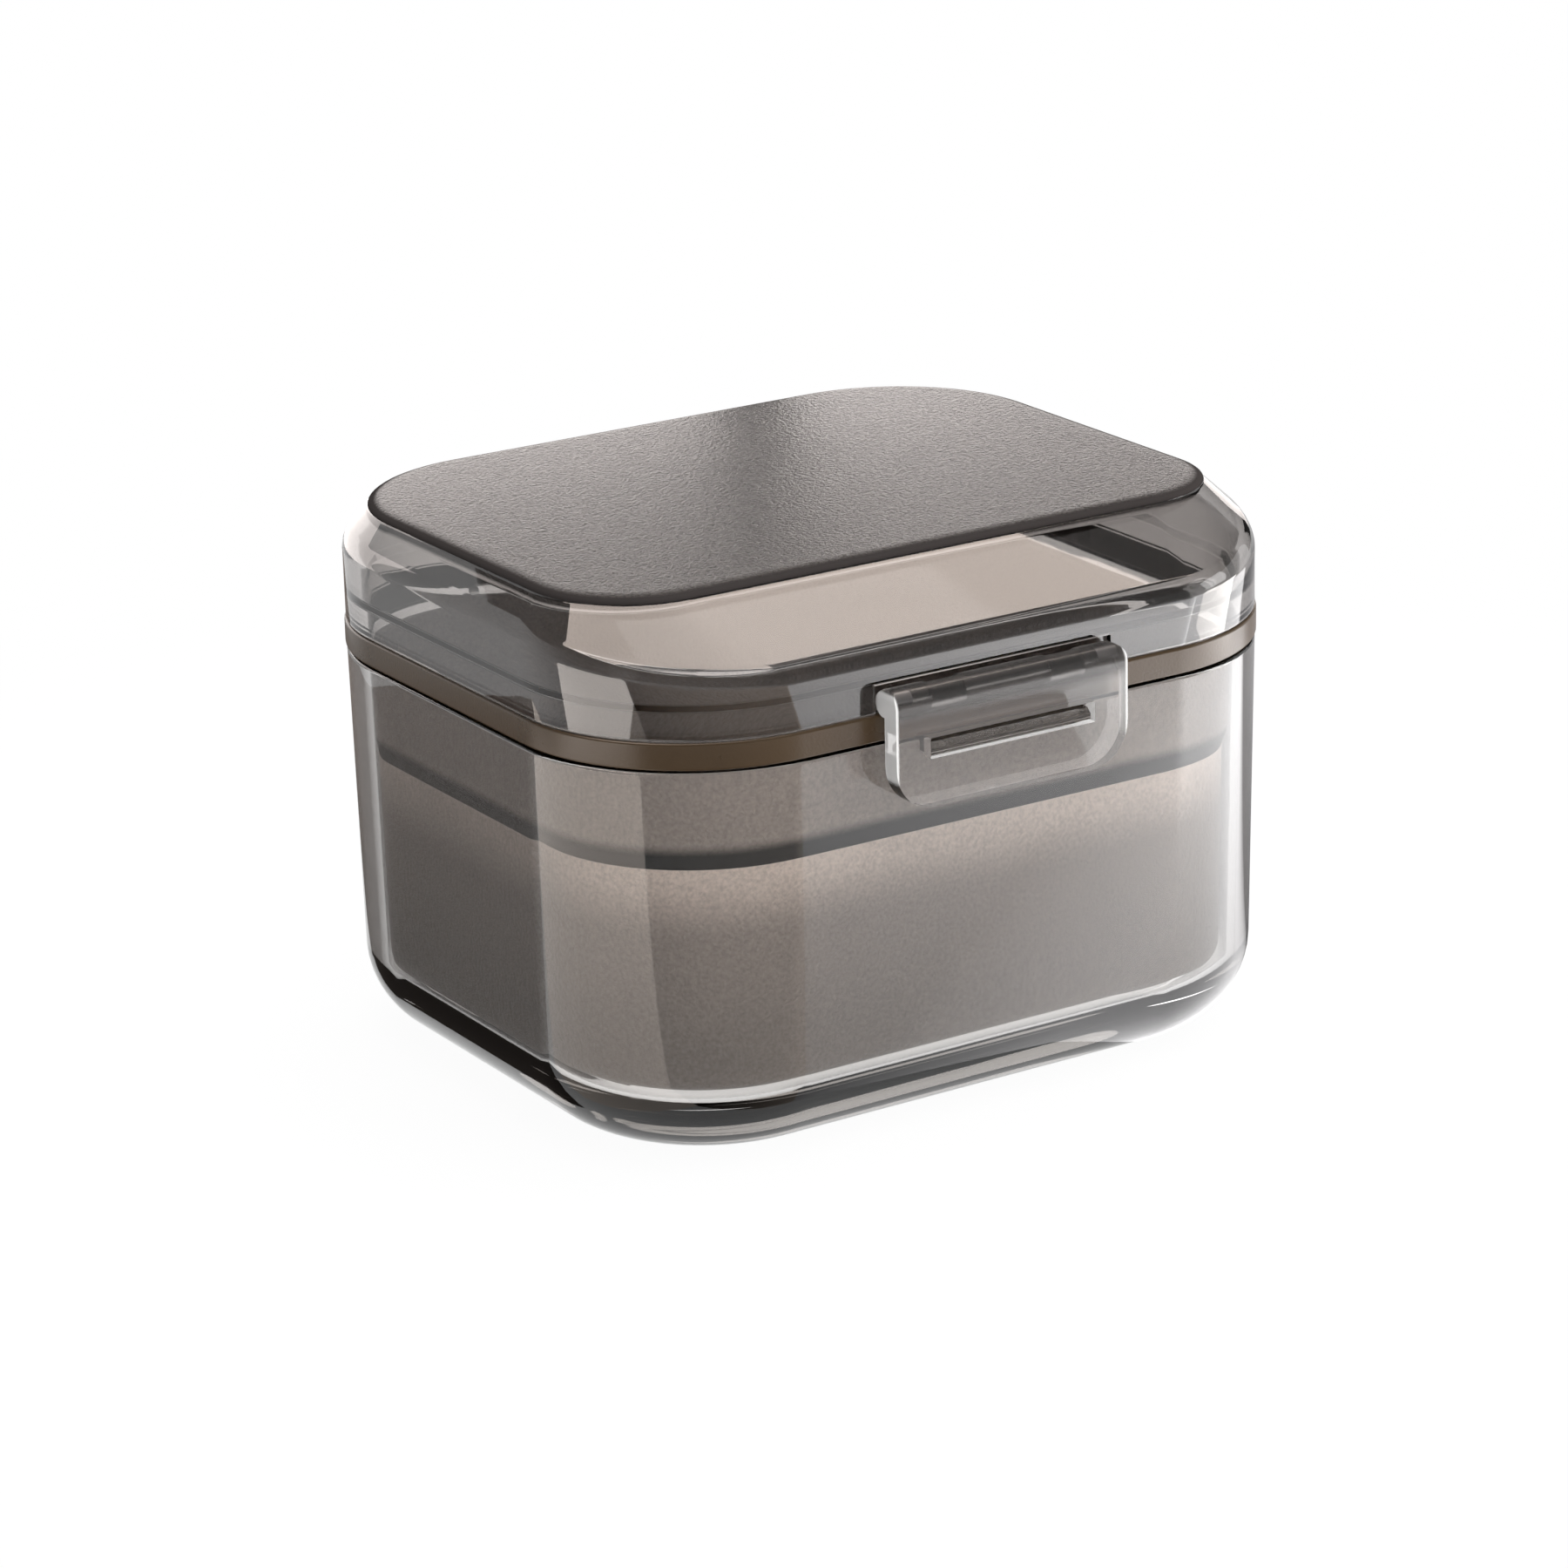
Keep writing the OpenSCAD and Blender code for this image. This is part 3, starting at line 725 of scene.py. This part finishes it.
pocket_w, pocket_deep, pocket_top, pocket_out, pocket_down = 31.8, 0.75, 6.8, 2, 0.5
pocket = start_block("pocket", (-pocket_w / 2, -case_d / 2 - pocket_out, seam + seal_h - pocket_down),
                     (pocket_w / 2, -case_d / 2 + pocket_deep, seam + pocket_top))
cut(lid, close_up(pocket), "DIFFERENCE")

pivot_y, pivot_z, lug_x, lug_w, lug_r, lug_stem, lug_lean = -41.4, 52.2, 6, 4, 0.95, 1.2, 15
clip_pin_r, lug_bore = 0.5, 24
lug_tilt = math.radians(lug_lean)
stem_way = Vector((math.cos(lug_tilt), -math.sin(lug_tilt)))
stem_half = Vector((math.sin(lug_tilt), math.cos(lug_tilt))) * lug_stem / 2
pivot = Vector((pivot_y, pivot_z))
tip = pivot + stem_way * (-case_d / 2 + pocket_deep + root - pivot_y) / stem_way.x
stem_outline = [tuple(p) for p in (pivot - stem_half, tip - stem_half, tip + stem_half, pivot + stem_half)]
for x in (-lug_x - lug_w, lug_x):
    stem = bar("stem", x, lug_w, stem_outline)
    lug = rod("lug", x, lug_w, pivot_y, pivot_z, lug_r)
    cut(lug, stem, "UNION")
    cut(lid, lug, "UNION")
cut(lid, rod("bore", -lug_bore / 2, lug_bore, pivot_y, pivot_z, clip_pin_r + pin_fit), "DIFFERENCE")

lid_eye, lid_arm = hinge_len - 2 * (tub_eye + eye_gap), (seal_h + 0.1, seal_h + 4.7)
cut(lid, knuckle(-lid_eye / 2, lid_eye, *lid_arm), "UNION")
cut(lid, rod("bore", -lid_eye, 2 * lid_eye, hinge_y, hinge_z, pin_r + pin_play), "DIFFERENCE")
smooth(lid)

lid_tint, lid_edge, lid_edge_gain = (0.78, 0.75, 0.735, 1), (0.1, 0.09, 0.085, 1), 1.25
material, shade = new_material("clear_lid")
slant = shade.add("LayerWeight", {}, {"Blend": 0.5}, "Facing")
dress(lid, material, *clear_plastic(shade, (lid_edge_gain * slant).blend(lid_tint, lid_edge), polish, 70))

# The panel's raised side and the lowest part of its rounded top are painted as shade: a dark matt colour takes the
# frost's place there.
panel_deep, panel_pale = (0.004, 0.0033, 0.003, 1), (0.095, 0.08, 0.074, 1)
panel_painted_shade, painted_shade_fade, frost_low, panel_z = (0.03, 0.026, 0.025, 1), 0.6, 0.1, seam + panel_low
material, shade = new_material("frosted_panel")
grain, frost = frosting(shade, 0.7)
edge = shade.place().along("Z").ramp((panel_z + panel_t) * MM, (panel_z + painted_shade_fade) * MM)
plastic = shade.add("BsdfPrincipled", {}, {
    "Base Color": grain.blend(panel_deep, panel_pale), "Roughness": 0.34, "IOR": 1.5,
    "Transmission Weight": 1, "Normal": frost})
dress(lid, material, edge.merge(plastic, shade.add("BsdfDiffuse", {}, {"Color": panel_painted_shade})))
for face in lid.data.polygons:
    if face.center.z / MM > panel_z + frost_low:
        face.material_index = 1
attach(lid, "cover")
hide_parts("lid")

# Seal ring
# A khaki silicone band, moulded flat and stretched round the lid's lip, a little proud of the wall.
# It closes the gap between lid and tub when the clip is shut.
seal_free, seal_proud, seal_round = 0.04, 0.15, 0.3
seal_rings = [case_plan(inset, z) for inset, z in (
    (seal_t - seal_free, seam_gap), (-seal_proud, seam_gap),
    (-seal_proud, seal_h - seal_free), (seal_t - seal_free, seal_h - seal_free))]
seal = build_rings("seal_band", seal_rings, closed=True)
for ring in seal_rings[1:3]:
    pick_ring(seal, ring)
    round_off(seal_round, 3)
close_up(seal)
smooth(seal)
material, shade = new_material("silicone")
cloud = shade.place().noise(120, 4)
skin = shade.place().noise(3000, 2).bump(0.15, 0.0001)
khaki = cloud.blend((0.036, 0.021, 0.009, 1), (0.048, 0.0285, 0.0128, 1))
dress(seal, material, shade.add("BsdfPrincipled", {}, {
    "Base Color": khaki, "Roughness": 0.25 + 0.06 * cloud, "IOR": 1.37, "Normal": skin}))
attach(seal, "cover")
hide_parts("seal_ring")

# Front clip
# A clear moulded plate that hangs on the lid by a thin pin through its barrel, and hooks over the tub's rib
# with its slot. Its edges are rounded, and its lower corners are large.
clip_w, clip_up, clip_down, clip_t, clip_out = 31.2, 6.6, 7.2, 2.3, 3.6
barrel_r, clip_round, clip_corner, clip_shoulder, clip_edge = 1.6, 2, 5, 1.2, 0.45
clip_front, clip_top, clip_low = -case_d / 2 - clip_out, seam + clip_up, seam - clip_down
clip_rear = clip_front + clip_t
meets = math.degrees(math.acos((clip_rear - pivot_y) / barrel_r))
section = [(clip_rear, clip_low), (clip_front, clip_low)]
section += arc(clip_front + clip_round, clip_top - clip_round, clip_round, 180, 90, 10)
section += arc(pivot_y, pivot_z, barrel_r, 90, -meets, 24)
clip = bar("clip_plate", -clip_w / 2, clip_w, section)
outline = start_block("outline", (-clip_w / 2, -case_d, clip_low), (clip_w / 2, 0, clip_top))
pick(outline, "EDGE", lambda corners: abs(corners[0].y - corners[1].y) > 1 and corners[0].z < seam)
round_off(clip_corner, 12)
pick(outline, "EDGE", lambda corners: abs(corners[0].y - corners[1].y) > 1 and corners[0].z > seam)
round_off(clip_shoulder, 6)
cut(clip, close_up(outline), "INTERSECT")
finish_with(clip, "BEVEL", limit_method="ANGLE", angle_limit=math.radians(50), width=clip_edge * MM, segments=3)

clear, room_end, room_out, clip_bore = 0.3, 98, 1, 25
room_r, room_w = lug_r + clear, lug_w + 2 * clear
room_start = -lug_lean - math.degrees(math.asin((lug_stem / 2 + clear) / room_r))
for x in (-lug_x - lug_w - clear, lug_x - clear):
    swing = [(pivot_y, pivot_z)] + arc(pivot_y, pivot_z, barrel_r + room_out, room_start, room_end, 24)
    cut(clip, bar("room", x, room_w, swing), "DIFFERENCE")
    cut(clip, rod("room", x, room_w, pivot_y, pivot_z, room_r), "DIFFERENCE")
cut(clip, rod("bore", -clip_bore / 2, clip_bore, pivot_y, pivot_z, clip_pin_r + pin_play), "DIFFERENCE")
slot_w, slot_h, slot_low, slot_out = 22.2, 2.4, 1.6, 1
slot = start_block("slot", (-slot_w / 2, clip_front - slot_out, seam - slot_low),
                   (slot_w / 2, clip_rear + slot_out, seam - slot_low + slot_h))
cut(clip, close_up(slot), "DIFFERENCE")
smooth(clip)

# The barrel is smokier and less polished than the plate. Both ends of the clip carry a painted highlight, a pale
# matt colour in place of the light that they catch.
clip_tint, barrel_tint, end_highlight_tint = (0.92, 0.91, 0.9, 1), (0.15, 0.138, 0.132, 1), (0.9, 0.89, 0.88, 1)
barrel_rough, barrel_fade, barrel_low, highlight_share, end_in = 0.25, 1, pivot_z - barrel_r, 0.6, 0.1
material, shade = new_material("clear_clip")
up = shade.place().along("Z").ramp((barrel_low - barrel_fade) * MM, (barrel_low + barrel_fade) * MM)
side = shade.maths("ABSOLUTE", shade.place().along("X"))
# Painted highlight: a pale matt colour mixed in near both ends of the clip.
painted_end_highlight = side.ramp((clip_w / 2 - clip_edge) * MM, (clip_w / 2 - end_in) * MM, 0, highlight_share)
painted_highlight_matt = shade.add("BsdfDiffuse", {}, {"Color": end_highlight_tint})
plastic, smoke = clear_plastic(shade, up.blend(clip_tint, barrel_tint), polish + barrel_rough * up, 90)
dress(clip, material, painted_end_highlight.merge(plastic, painted_highlight_matt), smoke)
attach(clip, "clip")
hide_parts("front_clip")

# Pins
# Two drawn stainless wires: a 2 mm hinge pin held in the tub's knuckles, and a 1 mm pin held in the lid's lugs.
# They keep the shape that they have in the frame, and the drawing marks run along them.
material, shade = new_material("pin_steel")
along = shade.add("Mapping", {}, {"Vector": shade.place(), "Scale": (40, 2500, 2500)})
drawn = along.noise(1, 3)
steel = shade.add("BsdfPrincipled", {}, {
    "Base Color": drawn.blend((0.52, 0.52, 0.53, 1), (0.62, 0.62, 0.63, 1)), "Metallic": 1,
    "Roughness": 0.22 + 0.15 * drawn, "Normal": drawn.bump(0.1, 0.0001)})
shade.add("OutputMaterial", {}, {"Surface": steel})
for name in ("hinge_pin", "clip_pin"):
    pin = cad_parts[name]
    pin.data.materials.clear()
    pin.data.materials.append(material)
